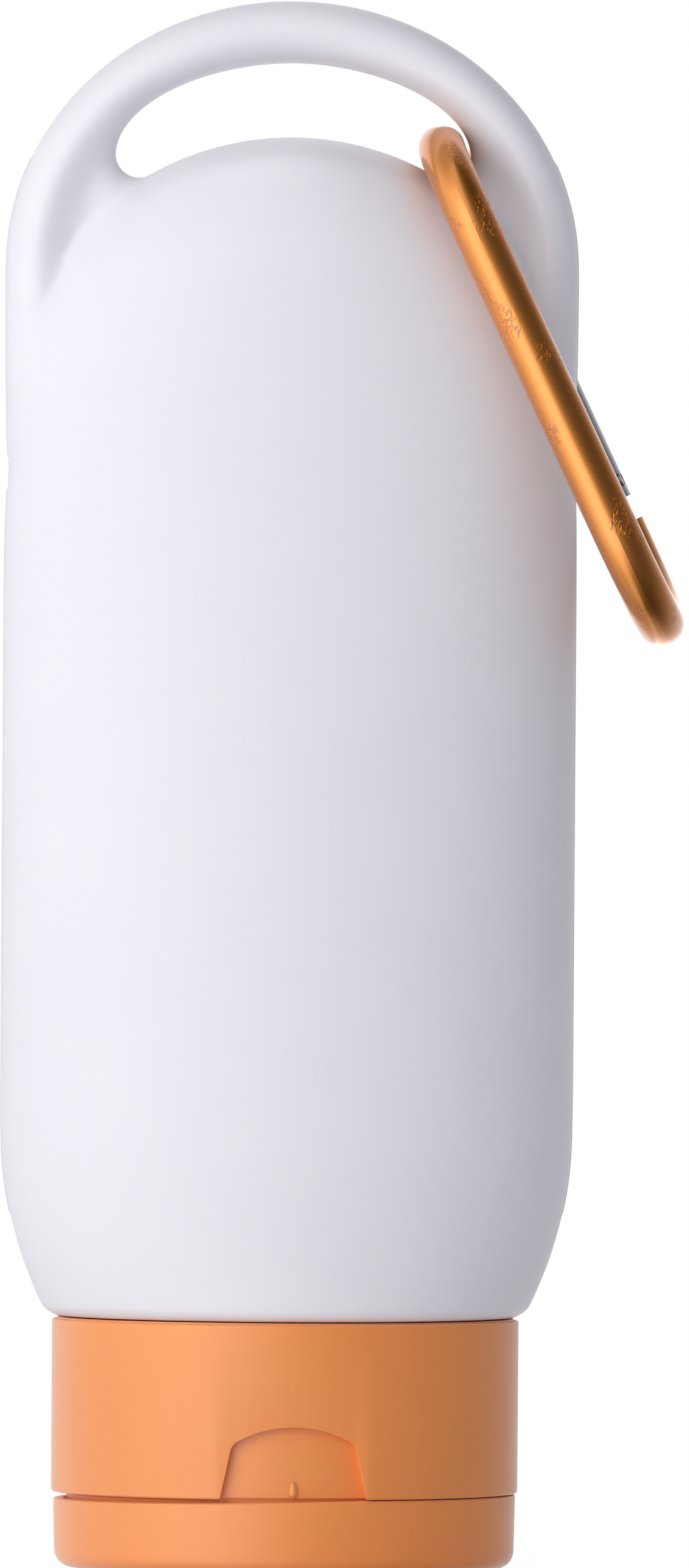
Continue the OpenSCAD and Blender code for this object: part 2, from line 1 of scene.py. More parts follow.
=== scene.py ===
# %% [markdown]
# # A squeeze bottle on its flip-top cap, with a carabiner in the handle
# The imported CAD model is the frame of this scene. Every CAD node sits at the origin with its
# place in its mesh, in metres, so a new piece goes where the CAD says. This lesson gives each
# piece its finish, and rebuilds the ones whose edges and mouldings are finer than the solids.

# %% Load the frame
import bpy, json, math
from mathutils import Matrix, Vector


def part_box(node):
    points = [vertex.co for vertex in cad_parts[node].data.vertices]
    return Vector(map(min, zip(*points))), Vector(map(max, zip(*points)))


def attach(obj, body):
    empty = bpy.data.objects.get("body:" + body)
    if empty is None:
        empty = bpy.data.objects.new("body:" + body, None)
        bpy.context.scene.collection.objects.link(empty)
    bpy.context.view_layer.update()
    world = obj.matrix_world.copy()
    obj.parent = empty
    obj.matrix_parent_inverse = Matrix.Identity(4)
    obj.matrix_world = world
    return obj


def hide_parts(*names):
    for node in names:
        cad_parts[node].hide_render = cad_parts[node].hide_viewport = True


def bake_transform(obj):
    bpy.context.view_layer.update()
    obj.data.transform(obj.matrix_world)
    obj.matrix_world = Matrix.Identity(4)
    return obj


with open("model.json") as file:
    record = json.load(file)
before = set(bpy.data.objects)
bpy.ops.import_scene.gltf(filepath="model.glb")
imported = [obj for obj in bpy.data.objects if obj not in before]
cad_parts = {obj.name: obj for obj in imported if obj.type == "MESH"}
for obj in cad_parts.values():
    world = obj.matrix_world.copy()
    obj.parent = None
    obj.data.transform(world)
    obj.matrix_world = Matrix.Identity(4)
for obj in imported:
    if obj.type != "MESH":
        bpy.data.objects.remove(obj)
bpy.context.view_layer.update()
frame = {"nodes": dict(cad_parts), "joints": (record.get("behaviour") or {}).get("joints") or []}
nodes = frame["nodes"]
joints = {joint["name"]: joint for joint in frame["joints"]}
mm = 0.001
print("nodes:", ", ".join(nodes))

# %% [markdown]
# ## Camera
# The photograph was taken level, from far away, a little to the left of straight on: a long lens
# keeps upright lines parallel. The bottle leans by less than half a degree in it, so the camera
# is rolled by that much, and the object stays upright in its own frame.

# %% Camera
aim = Vector((4.71, 0, 66.5)) * mm
camera_azimuth = math.radians(-3.3)
camera_roll = math.radians(0.4)
camera_distance = 1.25
back = Vector((math.sin(camera_azimuth), -math.cos(camera_azimuth), 0))
camera_data = bpy.data.cameras.new("photo_camera")
camera_data.lens = 338
camera_data.clip_start = 0.05
camera_data.clip_end = 20
camera = bpy.data.objects.new("photo_camera", camera_data)
bpy.context.scene.collection.objects.link(camera)
camera.location = aim + back * camera_distance
camera.rotation_euler = ((-back).to_track_quat("-Z", "Y").to_matrix()
                         @ Matrix.Rotation(camera_roll, 3, "Z")).to_euler()
bpy.context.scene.camera = camera
print("camera at", [round(v, 3) for v in camera.location])

# %% [markdown]
# ## Colours and nodes
# Colours are written as the hex values a designer reads from a swatch and turned to linear here.
# `add` puts one node in a tree: its inputs are numbers, colours or the outputs of other nodes.

# %% Helpers for nodes
def linear(code):
    """An sRGB hex colour as linear RGBA."""
    parts = [int(code[i:i + 2], 16) / 255 for i in (1, 3, 5)]
    return (*[v / 12.92 if v <= 0.04045 else ((v + 0.055) / 1.055) ** 2.4 for v in parts], 1)


def add(tree, kind, inputs=None, **settings):
    """Adds a node, sets it and links it, and gives it back."""
    made = tree.nodes.new("ShaderNode" + kind)
    for key, value in settings.items():
        setattr(made, key, value)
    for key, value in (inputs or {}).items():
        if isinstance(value, bpy.types.NodeSocket):
            tree.links.new(value, made.inputs[key])
        else:
            made.inputs[key].default_value = value
    return made


print("half way to white, #808080 is", round(linear("#808080")[0], 3), "of the light")

# %% [markdown]
# ## Studio
# The background of the photograph is plain white, and the bottle gets darker towards its right
# side. So a broad soft lamp stands to the left of the camera, the world fills the shadows
# evenly, and the camera alone sees the plain white.
#
# A shiny rod would be flat white in a white room. Photographers stand a tall softbox to its left
# and a dark card to its right, and here a ramp over the azimuth gives what shiny surfaces mirror:
# a bright strip at 20 to 46 degrees on the left, a dark one at 28 to 90 on the right, and pale
# walls behind. It gets weaker for steep rays, because a softbox ends above and below.

# %% What shiny surfaces mirror
world = bpy.data.worlds.new("white_studio")
world.use_nodes = True
bpy.context.scene.world = world
sky = world.node_tree
sky.nodes.clear()
direction = add(sky, "TexCoord").outputs["Generated"]
split = add(sky, "SeparateXYZ", {0: direction})
toward_camera = add(sky, "Math", {0: split.outputs["Y"], 1: -1.0}, operation="MULTIPLY")
azimuth = add(sky, "Math", {0: split.outputs["X"], 1: toward_camera.outputs[0]},
              operation="ARCTAN2")
turned = add(sky, "MapRange", {"Value": azimuth.outputs[0], "From Min": -math.pi,
                               "From Max": math.pi})
card = add(sky, "ValToRGB", {"Fac": turned.outputs["Result"]})
softbox = 1.7
behind = 0.95
# Degrees to the right of the front, and how bright the room is there
mirrored = [(-115, 1.0), (-80, 1.0), (-56, 1.35), (-46, softbox), (-20, softbox), (-11, 1.25),
            (-3, 0.55), (8, 0.28), (28, 0.15), (50, 0.12), (70, 0.12), (90, 0.17), (115, 0.32),
            (150, 0.75), (180, behind)]


def grey(level):
    """An opaque grey, as a share of the softbox's level."""
    return (*[level / softbox] * 3, 1)


# The room brightens towards the back right, up to the ramp's own last stop, which stays white,
# and at 180 degrees it falls to the level of the back left, where both ends meet
ramp = card.color_ramp.elements
ramp[0].color = grey(behind)
for degrees, level in mirrored:
    ramp.new(degrees / 360 + 0.5).color = grey(level)
print("mirrored room:", len(ramp), "stops over the azimuth")

# %% World
flat_ray, steep_ray, steep_share = 0.35, 0.8, 0.5
fill_level = 0.62
height = add(sky, "Math", {0: split.outputs["Z"]}, operation="ABSOLUTE")
above = add(sky, "MapRange", {"Value": height.outputs[0], "From Min": flat_ray,
                              "From Max": steep_ray, "To Min": softbox,
                              "To Max": steep_share * softbox})
ray = add(sky, "LightPath")
shiny = add(sky, "Math", {0: ray.outputs["Is Glossy Ray"], 1: ray.outputs["Is Transmission Ray"]},
            operation="MAXIMUM")
fill = add(sky, "Background", {"Color": linear("#DEDEE6"), "Strength": fill_level})
mirrored_room = add(sky, "Background", {"Color": card.outputs["Color"],
                                        "Strength": above.outputs["Result"]})
backdrop = add(sky, "Background", {"Color": (1, 1, 1, 1), "Strength": 1.0})
room = add(sky, "MixShader", {0: shiny.outputs[0], 1: fill.outputs[0],
                              2: mirrored_room.outputs[0]})
seen = add(sky, "MixShader", {0: ray.outputs["Is Camera Ray"], 1: room.outputs[0],
                              2: backdrop.outputs[0]})
add(sky, "OutputWorld", {"Surface": seen.outputs[0]})
bpy.context.scene.view_settings.view_transform = "Standard"
print("world:", len(sky.nodes), "nodes, fill light", fill_level)

# %% [markdown]
# The lamp is a softbox half a metre wide, so the bottle's shading has no hard edge. Shiny
# surfaces mirror the ramp above instead of it, or each bend of the ring would show it twice.

# %% Key lamp
key_aim = Vector((0, 0, 70 * mm))
key_direction = Vector((-0.66, -0.70, 0.28)).normalized()
key_distance = 0.62
key_data = bpy.data.lights.new("key_softbox", "AREA")
key_data.shape = "RECTANGLE"
key_data.size = 0.52
key_data.size_y = 0.42
key_data.energy = 2.08
key = bpy.data.objects.new("key_softbox", key_data)
bpy.context.scene.collection.objects.link(key)
key.location = key_aim + key_direction * key_distance
key.visible_glossy = False
key.rotation_euler = (-key_direction).to_track_quat("-Z", "Y").to_euler()
print("key lamp:", round(key_data.energy, 2), "W at", [round(v, 2) for v in key.location])

# %% [markdown]
# The floor is pale paper that reaches so far that no horizon shows. The camera sees it almost
# wholly as the background's white, with a trace of the bottle's shadow, and it still throws
# light back up at the bottle. Shiny surfaces look through it at the mirrored room.

# %% Floor
floor_size, white_share, white_level = 60, 0.95, 1.03
bpy.ops.object.select_all(action="DESELECT")
bpy.ops.mesh.primitive_plane_add(size=floor_size)
floor = bpy.context.object
floor.name = "floor"
white_paper = bpy.data.materials.new("white_paper")
white_paper.use_nodes = True
tree = white_paper.node_tree
tree.nodes.clear()
paper = add(tree, "BsdfDiffuse", {"Color": linear("#F4F4F6")})
glow = add(tree, "Emission", {"Color": (1, 1, 1, 1), "Strength": white_level})
ray = add(tree, "LightPath")
share = add(tree, "Math", {0: ray.outputs["Is Camera Ray"], 1: white_share},
            operation="MULTIPLY")
paper_seen = add(tree, "MixShader", {0: share.outputs[0], 1: paper.outputs[0],
                                     2: glow.outputs[0]})
clear = add(tree, "BsdfTransparent")
sheet = add(tree, "MixShader", {0: ray.outputs["Is Glossy Ray"], 1: paper_seen.outputs[0],
                                2: clear.outputs[0]})
add(tree, "OutputMaterial", {"Surface": sheet.outputs[0]})
floor.data.materials.append(white_paper)
print("floor:", floor_size, "m of white paper")

# %% [markdown]
# ## Polyethylene of the bottle
# The bottle is blow moulded from white high-density polyethylene. It is waxy and semi-matt, a
# little light enters it, and the wall keeps a faint unevenness where the soft plastic met the
# cool mould, with waves about a centimetre long. The mould's own blasted grain is a tenth of a
# millimetre fine, and is drawn at a third of one so that it shows.

# %% Bottle material
def new_material(name):
    """An empty node material with its tree, its output and its object coordinates."""
    made = bpy.data.materials.new(name)
    made.use_nodes = True
    tree = made.node_tree
    tree.nodes.clear()
    out = add(tree, "OutputMaterial")
    place = add(tree, "TexCoord").outputs["Object"]
    return made, tree, out, place


def per_mm(size):
    """Noise scale for features of that size in millimetres, on coordinates in metres."""
    return 1 / (size * mm)


white_plastic, tree, out, place = new_material("blow_moulded_hdpe")
waves = add(tree, "TexNoise", {"Vector": place, "Scale": per_mm(11), "Detail": 1.0})
grain = add(tree, "TexNoise", {"Vector": place, "Scale": per_mm(0.35), "Detail": 2.0})
tint = add(tree, "ValToRGB", {"Fac": waves.outputs["Fac"]})
tint.color_ramp.elements[0].color = linear("#EFEFF3")
tint.color_ramp.elements[1].color = linear("#F4F4F7")
gloss = add(tree, "MapRange", {"Value": waves.outputs["Fac"], "To Min": 0.40, "To Max": 0.48})
wavy = add(tree, "Bump", {"Height": waves.outputs["Fac"], "Strength": 1.0,
                          "Distance": 0.05 * mm})
grained = add(tree, "Bump", {"Height": grain.outputs["Fac"], "Strength": 1.0,
                             "Distance": 0.006 * mm, "Normal": wavy.outputs["Normal"]})
plastic = add(tree, "BsdfPrincipled", {
    "Base Color": tint.outputs["Color"], "Roughness": gloss.outputs["Result"],
    "Normal": grained.outputs["Normal"], "IOR": 1.54, "Subsurface Weight": 0.5,
    "Subsurface Scale": 1.2 * mm, "Subsurface Radius": (1.0, 0.9, 0.85)})
tree.links.new(plastic.outputs[0], out.inputs["Surface"])
print(white_plastic.name, "has", len(tree.nodes), "nodes")

# %% [markdown]
# ## Polypropylene of the cap
# The cap is injection moulded in orange polypropylene. The tool is spark eroded, which leaves a
# fine even grain that breaks the gloss without hiding it. Real grain of this kind is about a
# tenth of a millimetre wide, and it is drawn at twice that so that it shows.

# %% Cap material
orange_plastic, tree, out, place = new_material("grained_polypropylene")
cloud = add(tree, "TexNoise", {"Vector": place, "Scale": per_mm(6), "Detail": 2.0})
grain = add(tree, "TexNoise", {"Vector": place, "Scale": per_mm(0.22), "Detail": 1.0})
tint = add(tree, "ValToRGB", {"Fac": cloud.outputs["Fac"]})
tint.color_ramp.elements[0].color = linear("#F78E26")
tint.color_ramp.elements[1].color = linear("#FB952A")
gloss = add(tree, "MapRange", {"Value": cloud.outputs["Fac"], "To Min": 0.40, "To Max": 0.48})
grained = add(tree, "Bump", {"Height": grain.outputs["Fac"], "Strength": 1.0,
                             "Distance": 0.008 * mm})
# The coat and the sheen are the pale haze that such a grain shows where light grazes it
plastic = add(tree, "BsdfPrincipled", {
    "Base Color": tint.outputs["Color"], "Roughness": gloss.outputs["Result"],
    "Normal": grained.outputs["Normal"], "IOR": 1.5,
    "Coat Weight": 1.0, "Coat Roughness": 0.45, "Coat IOR": 1.95,
    "Sheen Weight": 0.3, "Sheen Roughness": 0.5, "Sheen Tint": (1, 1, 1, 1),
    "Subsurface Weight": 0.35, "Subsurface Scale": 0.8 * mm,
    "Subsurface Radius": (1.0, 0.45, 0.2)})
tree.links.new(plastic.outputs[0], out.inputs["Surface"])
print(orange_plastic.name, "has", len(tree.nodes), "nodes")

# %% [markdown]
# ## Metals
# The carabiner is a bent aluminium rod with an orange anodised skin: the dye sits under a hard
# clear oxide, so the metal reflects orange while the oxide on top reflects white. Drawing the
# rod left fine lines along it, which are drawn here at a sixth of a millimetre so that they
# show. Keys and clasps left nicks: a few spots a millimetre wide, each of short scratches.

# %% Lines and nicks along the rod
orange_metal, tree, out, place = new_material("anodised_aluminium")
ring_lean, ring_turn = math.radians(-25.3), math.radians(6)
line_stretch, scratch_stretch = 0.03, 0.35
along = add(tree, "Mapping", {"Vector": place, "Rotation": (0, ring_lean, ring_turn)})
drawn = add(tree, "VectorMath", {0: along.outputs[0], 1: (1, 1, line_stretch)},
            operation="MULTIPLY")
lines = add(tree, "TexNoise", {"Vector": drawn.outputs[0], "Scale": per_mm(0.16), "Detail": 2.0})
spots = add(tree, "TexNoise", {"Vector": place, "Scale": per_mm(3.2), "Detail": 0.0})
spot = add(tree, "MapRange", {"Value": spots.outputs["Fac"], "From Min": 0.66, "From Max": 0.72})
hatch = add(tree, "VectorMath", {0: along.outputs[0], 1: (1, 1, scratch_stretch)},
            operation="MULTIPLY")
scratches = add(tree, "TexNoise", {"Vector": hatch.outputs[0], "Scale": per_mm(0.3),
                                   "Detail": 1.0})
scratch = add(tree, "MapRange", {"Value": scratches.outputs["Fac"], "From Min": 0.52,
                                 "From Max": 0.6})
nicks = add(tree, "Math", {0: spot.outputs["Result"], 1: scratch.outputs["Result"]},
            operation="MULTIPLY")
print("lines and nicks:", len(tree.nodes), "nodes")

# %% Anodised aluminium
nick_roughness = 0.25
cloud = add(tree, "TexNoise", {"Vector": place, "Scale": per_mm(2.5), "Detail": 3.0})
tint = add(tree, "ValToRGB", {"Fac": cloud.outputs["Fac"]})
tint.color_ramp.elements[0].color = linear("#F08D02")
tint.color_ramp.elements[1].color = linear("#F99504")
gloss = add(tree, "MapRange", {"Value": cloud.outputs["Fac"], "To Min": 0.26, "To Max": 0.38})
worn = add(tree, "Math", {0: nicks.outputs[0], 1: nick_roughness, 2: gloss.outputs["Result"]},
           operation="MULTIPLY_ADD")
lined = add(tree, "Bump", {"Height": lines.outputs["Fac"], "Strength": 1.0,
                           "Distance": 0.004 * mm})
nicked = add(tree, "Bump", {"Height": nicks.outputs[0], "Strength": 1.0,
                            "Distance": -0.05 * mm, "Normal": lined.outputs["Normal"]})
dyed = add(tree, "BsdfPrincipled", {
    "Base Color": tint.outputs["Color"], "Metallic": 1.0, "Roughness": worn.outputs[0],
    "Normal": nicked.outputs["Normal"], "Coat Weight": 1.0, "Coat Roughness": 0.12,
    "Coat IOR": 1.9})
tree.links.new(dyed.outputs[0], out.inputs["Surface"])
print(orange_metal.name, "has", len(tree.nodes), "nodes")

# %% [markdown]
# The gate is plain drawn aluminium, pale and a little cloudy from handling. Pins, plunger and
# spring are turned from steel, which is darker and a little duller.

# %% Plain aluminium
silver, tree, out, place = new_material("drawn_aluminium")
cloud = add(tree, "TexNoise", {"Vector": place, "Scale": per_mm(2), "Detail": 3.0})
gloss = add(tree, "MapRange", {"Value": cloud.outputs["Fac"], "To Min": 0.16, "To Max": 0.28})
bare = add(tree, "BsdfPrincipled", {
    "Base Color": linear("#C9CBD2"), "Metallic": 1.0, "Roughness": gloss.outputs["Result"]})
tree.links.new(bare.outputs[0], out.inputs["Surface"])
print(silver.name, "has", len(tree.nodes), "nodes")

# %% Steel
pin_steel, tree, out, place = new_material("turned_steel")
cloud = add(tree, "TexNoise", {"Vector": place, "Scale": per_mm(1), "Detail": 2.0})
gloss = add(tree, "MapRange", {"Value": cloud.outputs["Fac"], "To Min": 0.2, "To Max": 0.35})
bare = add(tree, "BsdfPrincipled", {
    "Base Color": linear("#A9ACB2"), "Metallic": 1.0, "Roughness": gloss.outputs["Result"]})
tree.links.new(bare.outputs[0], out.inputs["Surface"])
print(pin_steel.name, "has", len(tree.nodes), "nodes")

# %% Finishes of the CAD nodes
finishes = {"bottle": white_plastic, "cap_base": orange_plastic, "hinge_web": orange_plastic,
            "lid": orange_plastic, "carabiner_frame": orange_metal, "carabiner_gate": silver,
            "pivot_rivet": pin_steel, "latch_pin": pin_steel, "gate_plunger": pin_steel,
            "gate_spring": pin_steel}
for name, material in finishes.items():
    nodes[name].data.materials.clear()
    nodes[name].data.materials.append(material)
print(len(finishes), "nodes have their finish")

# %% [markdown]
# ## The blown shell
# A blown shell has no sharp edge anywhere but at its parting line. The CAD skin already runs in
# clean rows and columns, so its copy is merged, its triangles are paired into quads, and a
# subdivision surface rounds it.

# %% Shell of the bottle
def only(piece):
    """Selects that piece alone and makes it active."""
    bpy.ops.object.select_all(action="DESELECT")
    piece.select_set(True)
    bpy.context.view_layer.objects.active = piece


quad_angle = math.radians(60)
bottle = bpy.data.objects.new("blown_shell", nodes["bottle"].data.copy())
bpy.context.scene.collection.objects.link(bottle)
only(bottle)
bpy.ops.object.mode_set(mode="EDIT")
bpy.ops.mesh.select_all(action="SELECT")
bpy.ops.mesh.remove_doubles(threshold=0.001 * mm)
bpy.ops.mesh.tris_convert_to_quads(face_threshold=quad_angle, shape_threshold=quad_angle)
bpy.ops.object.mode_set(mode="OBJECT")
smooth = bottle.modifiers.new("smooth", "SUBSURF")
smooth.levels = smooth.render_levels = 2
bpy.ops.object.modifier_apply(modifier=smooth.name)
bpy.ops.object.shade_smooth()
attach(bottle, "root")
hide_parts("bottle")
print("shell:", len(bottle.data.polygons), "faces")

# %% [markdown]
# ## The mould's parting line
# Both halves of the blow mould meet in the plane of the outline, and a little plastic is pinched
# into the joint. It shows as a thin raised line down both sides, so the shell's own edges in that
# plane are bevelled into a narrow strip and its middle is raised by a tenth of a millimetre.

# %% Parting line
def edit(piece, mode="VERT"):
    """Opens a piece in edit mode with nothing selected."""
    only(piece)
    bpy.ops.object.mode_set(mode="EDIT")
    bpy.ops.mesh.select_mode(type=mode)
    bpy.ops.mesh.select_all(action="DESELECT")


def pick(piece, test):
    """Selects the vertices, in edit mode, whose place in millimetres passes the test."""
    bpy.ops.object.mode_set(mode="OBJECT")
    for vertex in piece.data.vertices:
        vertex.select = test(vertex.co / mm)
    for part in (*piece.data.edges, *piece.data.polygons):
        part.select = all(piece.data.vertices[i].select for i in part.vertices)
    bpy.ops.object.mode_set(mode="EDIT")


half_wide, arch_foot, arch_high = 24.3, 110.45, 22.5
flat, outline_from = 0.02, 0.93
line_low, line_high = 30, 119.5
line_width, line_height = 0.13, 0.1


def on_parting(p):
    """True on the outline in the parting plane, from the handle's shoulders down."""
    outline_share = math.hypot(p.x / half_wide, max(p.z - arch_foot, 0) / arch_high)
    return abs(p.y) < flat and outline_share > outline_from and line_low < p.z < line_high


edit(bottle, "EDGE")
pick(bottle, on_parting)
print("parting line:", sum(e.select for e in bottle.data.edges), "edges")
bpy.ops.mesh.bevel(offset=line_width * mm, segments=2, affect="EDGES")
pick(bottle, on_parting)
bpy.ops.transform.shrink_fatten(value=line_height * mm)
bpy.ops.object.mode_set(mode="OBJECT")

# %% [markdown]
# ## Modelling by loops
# Most of the cap is a stack of ovals. By hand it would start as a circle, scaled to the first
# oval and extruded upwards and sideways from loop to loop, and `stack` does just that. Every
# edge of a moulded part has a small radius, so `rounded` puts short arcs at a profile's corners.

# %% Profiles
def rounded(points, radius, steps=3):
    """A profile's points, with each inner corner replaced by a short arc of about that radius."""
    side_share = 0.45
    made = [points[0]]
    for before, corner, after in zip(points, points[1:], points[2:]):
        a, b, c = Vector(before), Vector(corner), Vector(after)
        reach = min(radius, (a - b).length * side_share, (c - b).length * side_share)
        first = b + (a - b).normalized() * reach
        last = b + (c - b).normalized() * reach
        for i in range(steps + 1):
            t = i / steps
            made.append(tuple(first * (1 - t) ** 2 + b * 2 * t * (1 - t) + last * t ** 2))
    return made + [points[-1]]


print("a rounded corner has", len(rounded([(0, 0), (1, 0), (1, 1)], 0.2)) - 2, "points")

# %% Stack of ovals
def stack(name, loops, columns, closed=True):
    """Extrudes a loop through ovals, each given as half width, half depth and height in mm."""
    bpy.ops.object.select_all(action="DESELECT")
    bpy.ops.mesh.primitive_circle_add(vertices=columns, radius=1,
                                      fill_type="NGON" if closed else "NOTHING")
    piece = bpy.context.object
    piece.name = piece.data.name = name
    bpy.ops.object.mode_set(mode="EDIT")
    bpy.ops.mesh.select_all(action="SELECT")
    width, depth, height = loops[0]
    bpy.ops.transform.resize(value=(width * mm, depth * mm, 1), center_override=(0, 0, 0))
    bpy.ops.transform.translate(value=(0, 0, height * mm))
    bpy.ops.mesh.select_mode(type="EDGE")
    bpy.ops.mesh.select_all(action="SELECT")
    for next_width, next_depth, next_height in loops[1:]:
        bpy.ops.mesh.extrude_edges_move(
            TRANSFORM_OT_translate={"value": (0, 0, (next_height - height) * mm)})
        bpy.ops.transform.resize(value=(next_width / width, next_depth / depth, 1),
                                 center_override=(0, 0, 0))
        width, depth, height = next_width, next_depth, next_height
    if closed:
        bpy.ops.mesh.edge_face_add()
    bpy.ops.object.mode_set(mode="OBJECT")
    print(f"{name}: {len(loops)} loops of {columns} points")
    return piece


# %% [markdown]
# ## The cap's base
# The base is one moulding: an oval wall, a deck across it with the spout and its orifice, a
# land that the lid closes over, and a skirt that snaps over the bottle's neck. One long profile
# runs over all of it, from the orifice out to the wall and back in to the orifice.

# %% Sizes of the cap
base_lo, base_hi = (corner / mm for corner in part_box("cap_base"))
cap_w, cap_d, base_top = base_hi
parting = joints["lid_hinge"]["pos_m"][2] / mm
deck_thick = 1.2
deck = parting - deck_thick
inner_deck = deck + deck_thick
spout_top = base_lo.z
orifice, spout = 2.4, 4.1
wall, land_in = 1.15, 1.35
columns = 128
print("cap:", round(2 * cap_w, 2), "x", round(2 * cap_d, 2), "mm, parting line at", parting)


def ovals(profile):
    """Loops of the cap's own oval from points of inset and height."""
    return [(cap_w - inset, cap_d - inset, height) for inset, height in profile]


def rounds(profile):
    """Round loops from points of radius and height."""
    return [(radius, radius, height) for radius, height in profile]


# %% Profile of the base
lip_in, lip_high = 0.42, 0.15
land_gap = 0.02
wall_foot = inner_deck + 0.5
behind_recess, above_recess = 13.8, 14.8
skirt_out, skirt_in, skirt_top = 12.85, 11.75, 15.0
seal_out, seal_in, seal_top = 9.3, 8.4, 8.75
orifice_edge, spout_draft, spout_foot = 0.4, 0.3, 1.5
spout_profile = rounded([(orifice, inner_deck - orifice_edge), (orifice, spout_top),
                         (spout, spout_top), (spout + spout_draft, deck),
                         (spout + spout_foot, deck)], 0.35)
# From the spout's round to the cap's oval in two steps, so that the deck's faces stay even
inner_w, inner_d = 3.0, 5.2
deck_rings = [(cap_w * t + inner_w * (1 - t), cap_d * t + inner_d * (1 - t), deck)
              for t in (0.35, 0.62)]
wall_profile = rounded([(land_in + 2.2, deck), (land_in, deck), (land_in, parting + land_gap),
                        (land_gap, parting + land_gap), (0, base_top), (lip_in, base_top),
                        (lip_in, base_top + lip_high), (wall, base_top + lip_high),
                        (wall, above_recess), (wall, behind_recess), (wall, wall_foot),
                        (wall + 0.6, wall_foot)], 0.3)
skirt_profile = rounded([(skirt_out, wall_foot), (skirt_out, skirt_top), (skirt_in, skirt_top),
                         (skirt_in, inner_deck), (seal_out, inner_deck), (seal_out, seal_top),
                         (seal_in, seal_top), (seal_in, inner_deck), (orifice + 0.6, inner_deck)],
                        0.2, 2)
base = stack("cap_base_moulding", rounds(spout_profile) + deck_rings + ovals(wall_profile)
             + rounds(skirt_profile), columns, closed=False)
edit(base, "EDGE")
bpy.ops.mesh.select_non_manifold()
bpy.ops.mesh.bridge_edge_loops()
bpy.ops.object.mode_set(mode="OBJECT")

# %% [markdown]
# The wall goes on behind the thumb recess, so its inner face is pushed back there before the
# recess is cut. Moulded walls are made so, because only an even wall cools without sink marks.

# %% Wall behind the recess
push_half, push_low, push_high = 7.4, inner_deck + 0.3, 14.2
inner_from, inner_to = 0.86, 0.955


def behind_the_recess(p):
    """True on the wall's inner face, in front, over the recess's width and height."""
    return (abs(p.x) < push_half and p.y < 0 and push_low < p.z < push_high
            and inner_from < math.hypot(p.x / cap_w, p.y / cap_d) < inner_to)


def outward(piece):
    """Merges doubles and turns every face outwards."""
    edit(piece)
    bpy.ops.mesh.select_all(action="SELECT")
    bpy.ops.mesh.remove_doubles(threshold=0.002 * mm)
    bpy.ops.mesh.normals_make_consistent(inside=False)
    bpy.ops.object.mode_set(mode="OBJECT")


recess_depth = 1.0
edit(base)
pick(base, behind_the_recess)
bpy.ops.transform.translate(value=(0, recess_depth * mm, 0))
bpy.ops.object.mode_set(mode="OBJECT")
outward(base)
print("base:", len(base.data.polygons), "faces before its cuts")

# %% [markdown]
# ## The thumb recess
# A scoop in the front of the base lets a thumb under the lid. Its flanks lean in a little, its
# top is a flat arch with rounded shoulders, and its back follows the oval of the wall. The tool
# that cuts it is that outline, drawn point by point and extruded through the wall, and then
# hollowed at the back by the cap's own oval.

# %% Outline of the recess
recess_low, recess_high = 6.2, 5.2
recess_side, recess_rise = 4.7, 1.45
below = 1.0
shoulder = 0.62
lean = (recess_low - recess_high) / recess_side
recess_top = parting + recess_side + recess_rise
arc = (recess_high ** 2 + recess_rise ** 2) / (2 * recess_rise)
half_arch = (0.7, 1.4, 2.2, 3.0, 3.7, recess_high)
arch = [(x, recess_top - arc + math.sqrt(arc ** 2 - x ** 2))
        for x in (*[-x for x in reversed(half_arch)], 0, *half_arch)]
outline = rounded([(-recess_low - lean * below, parting - below)] + arch
                  + [(recess_low + lean * below, parting - below)], shoulder, 5)
print("recess:", 2 * recess_low, "mm wide and", round(recess_top - parting, 2), "mm high")

# %% Tool for the recess
tool_front, tool_deep = 1.2, 3.6
bpy.ops.object.select_all(action="DESELECT")
bpy.ops.mesh.primitive_circle_add(vertices=len(outline), radius=1, fill_type="NGON")
tool = bpy.context.object
for vertex, (x, z) in zip(tool.data.vertices, outline):
    vertex.co = Vector((x, -cap_d - tool_front, z)) * mm
bpy.ops.object.mode_set(mode="EDIT")
bpy.ops.mesh.select_all(action="SELECT")
bpy.ops.mesh.extrude_region_move(TRANSFORM_OT_translate={"value": (0, tool_deep * mm, 0)})
bpy.ops.object.mode_set(mode="OBJECT")
outward(tool)
print("recess tool:", len(tool.data.polygons), "faces before it is hollowed")

# %% [markdown]
# Two ovals hollow the tool from behind. Over most of its height they leave a recess one
# millimetre deep, and in its lowest part one that reaches back to the land the lid closes over.

# %% Cut of the recess
def cut_with(piece, tool):
    """Cuts a piece with a tool and deletes the tool."""
    cut = piece.modifiers.new("difference", "BOOLEAN")
    cut.object = tool
    cut.operation = "DIFFERENCE"
    cut.solver = "EXACT"
    only(piece)
    bpy.ops.object.modifier_apply(modifier=cut.name)
    bpy.data.objects.remove(tool)


recess_lift = 0.15
for name, inset, low, high in (
        ("back_oval", recess_depth, parting + recess_lift, recess_top + 2),
        ("under_oval", land_in + land_gap, parting - 2, parting + recess_lift + 0.01)):
    oval = stack(name, ovals([(inset, low), (inset, high)]), columns)
    outward(oval)
    cut_with(tool, oval)
outward(tool)
print("recess tool:", len(tool.data.polygons), "faces")
cut_with(base, tool)

# %% [markdown]
# A small moulded nub stands low on the back wall of the recess, and a flat at the rear leaves
# room for the hinge. The flat is cut first and the nub is then joined on as a shell of its own,
# because an exact boolean would drop it.

# %% Hinge flat
hinge_lo, hinge_hi = (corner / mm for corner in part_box("hinge_web"))
hinge_wider, hinge_clear, past_parting = 0.3, 0.15, 0.5
block_deep, block_round = 4, 0.12


